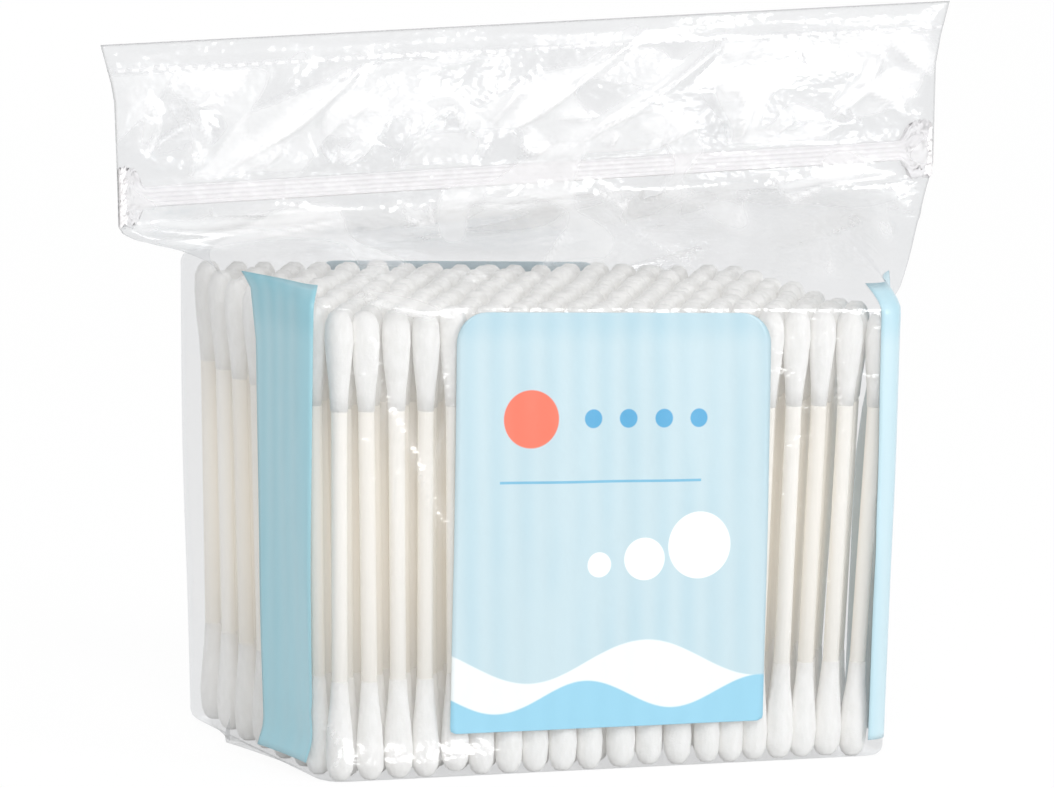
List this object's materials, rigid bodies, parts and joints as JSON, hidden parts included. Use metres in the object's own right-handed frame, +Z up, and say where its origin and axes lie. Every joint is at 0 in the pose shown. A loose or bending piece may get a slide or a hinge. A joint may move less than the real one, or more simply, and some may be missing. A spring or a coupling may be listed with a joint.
{
  "type": "bag of cotton swabs",
  "caption": "Clear resealable film bag with a zip and a tear-off header, packed with rows of upright paper-stick cotton swabs behind plain pale blue print.",
  "frame": {"origin": "middle of the bag's footprint, on the surface that it stands on", "axes": "+X across the bag along the zip, +Y from the front print to the back print, +Z up to the header"},
  "size_m": [0.146, 0.0607, 0.1159],
  "materials": {
    "film": "clear polyethylene film, glossy and creased",
    "zip": "milky extruded polyethylene strip",
    "print_field": "pale blue ink printed on the film, glossy",
    "print_stripe": "light blue ink printed on the film, glossy",
    "paper": "tightly rolled white paper, smooth and matt",
    "cotton": "white wound cotton, soft and matt"
  },
  "bodies": {
    "root": {"bag_film": "film", "zip_channel_strip": "zip", "zip_rib_strip": "zip", "front_print": "print_field", "back_print": "print_field", "left_stripe": "print_stripe", "right_stripe": "print_stripe", "sticks_row_01": "paper", "sticks_row_02": "paper", "sticks_row_03": "paper", "sticks_row_04": "paper", "sticks_row_05": "paper", "sticks_row_06": "paper", "sticks_row_07": "paper", "sticks_row_08": "paper", "sticks_row_09": "paper", "sticks_row_10": "paper", "sticks_row_11": "paper", "sticks_row_12": "paper", "sticks_row_13": "paper", "sticks_row_14": "paper", "sticks_row_15": "paper", "upper_tips_row_01": "cotton", "upper_tips_row_02": "cotton", "upper_tips_row_03": "cotton", "upper_tips_row_04": "cotton", "upper_tips_row_05": "cotton", "upper_tips_row_06": "cotton", "upper_tips_row_07": "cotton", "upper_tips_row_08": "cotton", "upper_tips_row_09": "cotton", "upper_tips_row_10": "cotton", "upper_tips_row_11": "cotton", "upper_tips_row_12": "cotton", "upper_tips_row_13": "cotton", "upper_tips_row_14": "cotton", "upper_tips_row_15": "cotton", "lower_tips_row_01": "cotton", "lower_tips_row_02": "cotton", "lower_tips_row_03": "cotton", "lower_tips_row_04": "cotton", "lower_tips_row_05": "cotton", "lower_tips_row_06": "cotton", "lower_tips_row_07": "cotton", "lower_tips_row_08": "cotton", "lower_tips_row_09": "cotton", "lower_tips_row_10": "cotton", "lower_tips_row_11": "cotton", "lower_tips_row_12": "cotton", "lower_tips_row_13": "cotton", "lower_tips_row_14": "cotton", "lower_tips_row_15": "cotton"}
  },
  "joints": []
}
